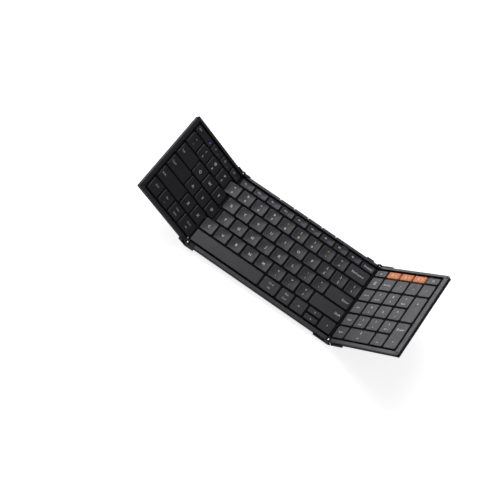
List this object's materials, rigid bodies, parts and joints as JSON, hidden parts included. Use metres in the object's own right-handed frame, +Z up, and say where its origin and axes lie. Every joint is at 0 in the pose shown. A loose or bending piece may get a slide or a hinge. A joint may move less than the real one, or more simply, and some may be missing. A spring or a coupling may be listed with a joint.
{
  "type": "folding keyboard",
  "caption": "Slim tri-fold keyboard: a centre section with keys and a wing hinged on each side, the right one a number pad, wings raised part way.",
  "frame": {"origin": "middle of the centre section, midway between the two fold axes and halfway from front to back, on the surface that the feet stand on", "axes": "+X to the typist's right along the row of keys, +Y away from the typist, +Z up"},
  "size_m": [0.3439, 0.1198, 0.078],
  "materials": {
    "rim": "satin black",
    "cover": "fine matte black",
    "deck": "matte black",
    "membrane": "printed film",
    "links": "moulded",
    "domes": "silicone",
    "feet": "matte rubber",
    "pin": "turned",
    "battery": "foil pouch",
    "board": "solder mask",
    "socket": "stamped",
    "light": "clear light pipe",
    "key": "satin black",
    "device_key": "satin orange"
  },
  "bodies": {
    "centre_section": {"centre_frame": "rim", "centre_cover": "cover", "centre_deck": "deck", "centre_membrane": "membrane", "centre_scissors": "links", "centre_domes": "domes", "centre_feet": "feet", "centre_leaves": "cover", "hinge_pins": "pin", "battery": "battery", "controller_board": "board", "charging_socket": "socket", "indicator_lights": "light"},
    "left_wing": {"left_frame": "rim", "left_cover": "cover", "left_deck": "deck", "left_membrane": "membrane", "left_scissors": "links", "left_domes": "domes", "left_pads": "feet", "left_leaves": "cover"},
    "right_wing": {"right_frame": "rim", "right_cover": "cover", "right_deck": "deck", "right_membrane": "membrane", "right_scissors": "links", "right_domes": "domes", "right_pads": "feet", "right_leaves": "cover"},
    "left_function_keys": {"left_function_keys": "key"},
    "left_number_keys": {"left_number_keys": "key"},
    "left_upper_keys": {"left_upper_keys": "key"},
    "left_home_keys": {"left_home_keys": "key"},
    "left_lower_keys": {"left_lower_keys": "key"},
    "left_modifier_keys": {"left_modifier_keys": "key"},
    "centre_function_keys": {"centre_function_keys": "key"},
    "centre_number_keys": {"centre_number_keys": "key"},
    "backspace_key": {"backspace_key": "key"},
    "centre_upper_keys": {"centre_upper_keys": "key"},
    "centre_home_keys": {"centre_home_keys": "key"},
    "enter_key": {"enter_key": "key"},
    "centre_lower_keys": {"centre_lower_keys": "key"},
    "right_shift_key": {"right_shift_key": "key"},
    "space_key": {"space_key": "key"},
    "centre_modifier_keys": {"centre_modifier_keys": "key"},
    "left_arrow_key": {"left_arrow_key": "key"},
    "up_arrow_key": {"up_arrow_key": "key"},
    "down_arrow_key": {"down_arrow_key": "key"},
    "right_arrow_key": {"right_arrow_key": "key"},
    "pad_function_keys": {"pad_function_keys": "key"},
    "device_key_1": {"device_key_1": "device_key"},
    "device_key_2": {"device_key_2": "device_key"},
    "device_key_3": {"device_key_3": "device_key"},
    "pad_top_keys": {"pad_top_keys": "key"},
    "pad_upper_keys": {"pad_upper_keys": "key"},
    "pad_plus_key": {"pad_plus_key": "key"},
    "pad_middle_keys": {"pad_middle_keys": "key"},
    "pad_lower_keys": {"pad_lower_keys": "key"},
    "pad_enter_key": {"pad_enter_key": "key"},
    "pad_bottom_keys": {"pad_bottom_keys": "key"}
  },
  "joints": [
    {"name": "left_fold", "type": "hinge", "parent": "centre_section", "child": "left_wing", "pos_m": [-0.09709, 0, 0.0079], "axis": [0, 1, 0], "range_deg": [-36.5, 143.5]},
    {"name": "right_fold", "type": "hinge", "parent": "centre_section", "child": "right_wing", "pos_m": [0.09709, 0, 0.0079], "axis": [0, -1, 0], "range_deg": [-45, 135]},
    {"name": "left_function_press", "type": "slide", "parent": "left_wing", "child": "left_function_keys", "axis": [-0.5948, 0, -0.8039], "range_m": [0, 0.0011], "stiffness_N_per_m": 1000, "springref_m": -0.0012},
    {"name": "left_number_press", "type": "slide", "parent": "left_wing", "child": "left_number_keys", "axis": [-0.5948, 0, -0.8039], "range_m": [0, 0.0011], "stiffness_N_per_m": 1000, "springref_m": -0.0012},
    {"name": "left_upper_press", "type": "slide", "parent": "left_wing", "child": "left_upper_keys", "axis": [-0.5948, 0, -0.8039], "range_m": [0, 0.0011], "stiffness_N_per_m": 1000, "springref_m": -0.0012},
    {"name": "left_home_press", "type": "slide", "parent": "left_wing", "child": "left_home_keys", "axis": [-0.5948, 0, -0.8039], "range_m": [0, 0.0011], "stiffness_N_per_m": 1000, "springref_m": -0.0012},
    {"name": "left_lower_press", "type": "slide", "parent": "left_wing", "child": "left_lower_keys", "axis": [-0.5948, 0, -0.8039], "range_m": [0, 0.0011], "stiffness_N_per_m": 750, "springref_m": -0.0012},
    {"name": "left_modifier_press", "type": "slide", "parent": "left_wing", "child": "left_modifier_keys", "axis": [-0.5948, 0, -0.8039], "range_m": [0, 0.0011], "stiffness_N_per_m": 1000, "springref_m": -0.0012},
    {"name": "centre_function_press", "type": "slide", "parent": "centre_section", "child": "centre_function_keys", "axis": [0, 0, -1], "range_m": [0, 0.0011], "stiffness_N_per_m": 2500, "springref_m": -0.0012},
    {"name": "centre_number_press", "type": "slide", "parent": "centre_section", "child": "centre_number_keys", "axis": [0, 0, -1], "range_m": [0, 0.0011], "stiffness_N_per_m": 2250, "springref_m": -0.0012},
    {"name": "backspace_press", "type": "slide", "parent": "centre_section", "child": "backspace_key", "axis": [0, 0, -1], "range_m": [0, 0.0011], "stiffness_N_per_m": 250, "springref_m": -0.0012},
    {"name": "centre_upper_press", "type": "slide", "parent": "centre_section", "child": "centre_upper_keys", "axis": [0, 0, -1], "range_m": [0, 0.0011], "stiffness_N_per_m": 2500, "springref_m": -0.0012},
    {"name": "centre_home_press", "type": "slide", "parent": "centre_section", "child": "centre_home_keys", "axis": [0, 0, -1], "range_m": [0, 0.0011], "stiffness_N_per_m": 2000, "springref_m": -0.0012},
    {"name": "enter_press", "type": "slide", "parent": "centre_section", "child": "enter_key", "axis": [0, 0, -1], "range_m": [0, 0.0011], "stiffness_N_per_m": 250, "springref_m": -0.0012},
    {"name": "centre_lower_press", "type": "slide", "parent": "centre_section", "child": "centre_lower_keys", "axis": [0, 0, -1], "range_m": [0, 0.0011], "stiffness_N_per_m": 2000, "springref_m": -0.0012},
    {"name": "right_shift_press", "type": "slide", "parent": "centre_section", "child": "right_shift_key", "axis": [0, 0, -1], "range_m": [0, 0.0011], "stiffness_N_per_m": 250, "springref_m": -0.0012},
    {"name": "space_press", "type": "slide", "parent": "centre_section", "child": "space_key", "axis": [0, 0, -1], "range_m": [0, 0.0011], "stiffness_N_per_m": 250, "springref_m": -0.0012},
    {"name": "centre_modifier_press", "type": "slide", "parent": "centre_section", "child": "centre_modifier_keys", "axis": [0, 0, -1], "range_m": [0, 0.0011], "stiffness_N_per_m": 500, "springref_m": -0.0012},
    {"name": "left_arrow_press", "type": "slide", "parent": "centre_section", "child": "left_arrow_key", "axis": [0, 0, -1], "range_m": [0, 0.0011], "stiffness_N_per_m": 250, "springref_m": -0.0012},
    {"name": "up_arrow_press", "type": "slide", "parent": "centre_section", "child": "up_arrow_key", "axis": [0, 0, -1], "range_m": [0, 0.0011], "stiffness_N_per_m": 250, "springref_m": -0.0012},
    {"name": "down_arrow_press", "type": "slide", "parent": "centre_section", "child": "down_arrow_key", "axis": [0, 0, -1], "range_m": [0, 0.0011], "stiffness_N_per_m": 250, "springref_m": -0.0012},
    {"name": "right_arrow_press", "type": "slide", "parent": "centre_section", "child": "right_arrow_key", "axis": [0, 0, -1], "range_m": [0, 0.0011], "stiffness_N_per_m": 250, "springref_m": -0.0012},
    {"name": "pad_function_press", "type": "slide", "parent": "right_wing", "child": "pad_function_keys", "axis": [0.7071, 0, -0.7071], "range_m": [0, 0.0011], "stiffness_N_per_m": 500, "springref_m": -0.0012},
    {"name": "device_press_1", "type": "slide", "parent": "right_wing", "child": "device_key_1", "axis": [0.7071, 0, -0.7071], "range_m": [0, 0.0011], "stiffness_N_per_m": 250, "springref_m": -0.0012},
    {"name": "device_press_2", "type": "slide", "parent": "right_wing", "child": "device_key_2", "axis": [0.7071, 0, -0.7071], "range_m": [0, 0.0011], "stiffness_N_per_m": 250, "springref_m": -0.0012},
    {"name": "device_press_3", "type": "slide", "parent": "right_wing", "child": "device_key_3", "axis": [0.7071, 0, -0.7071], "range_m": [0, 0.0011], "stiffness_N_per_m": 250, "springref_m": -0.0012},
    {"name": "pad_top_press", "type": "slide", "parent": "right_wing", "child": "pad_top_keys", "axis": [0.7071, 0, -0.7071], "range_m": [0, 0.0011], "stiffness_N_per_m": 1250, "springref_m": -0.0012},
    {"name": "pad_upper_press", "type": "slide", "parent": "right_wing", "child": "pad_upper_keys", "axis": [0.7071, 0, -0.7071], "range_m": [0, 0.0011], "stiffness_N_per_m": 1000, "springref_m": -0.0012},
    {"name": "pad_plus_press", "type": "slide", "parent": "right_wing", "child": "pad_plus_key", "axis": [0.7071, 0, -0.7071], "range_m": [0, 0.0011], "stiffness_N_per_m": 250, "springref_m": -0.0012},
    {"name": "pad_middle_press", "type": "slide", "parent": "right_wing", "child": "pad_middle_keys", "axis": [0.7071, 0, -0.7071], "range_m": [0, 0.0011], "stiffness_N_per_m": 1000, "springref_m": -0.0012},
    {"name": "pad_lower_press", "type": "slide", "parent": "right_wing", "child": "pad_lower_keys", "axis": [0.7071, 0, -0.7071], "range_m": [0, 0.0011], "stiffness_N_per_m": 1000, "springref_m": -0.0012},
    {"name": "pad_enter_press", "type": "slide", "parent": "right_wing", "child": "pad_enter_key", "axis": [0.7071, 0, -0.7071], "range_m": [0, 0.0011], "stiffness_N_per_m": 250, "springref_m": -0.0012},
    {"name": "pad_bottom_press", "type": "slide", "parent": "right_wing", "child": "pad_bottom_keys", "axis": [0.7071, 0, -0.7071], "range_m": [0, 0.0011], "stiffness_N_per_m": 750, "springref_m": -0.0012}
  ]
}
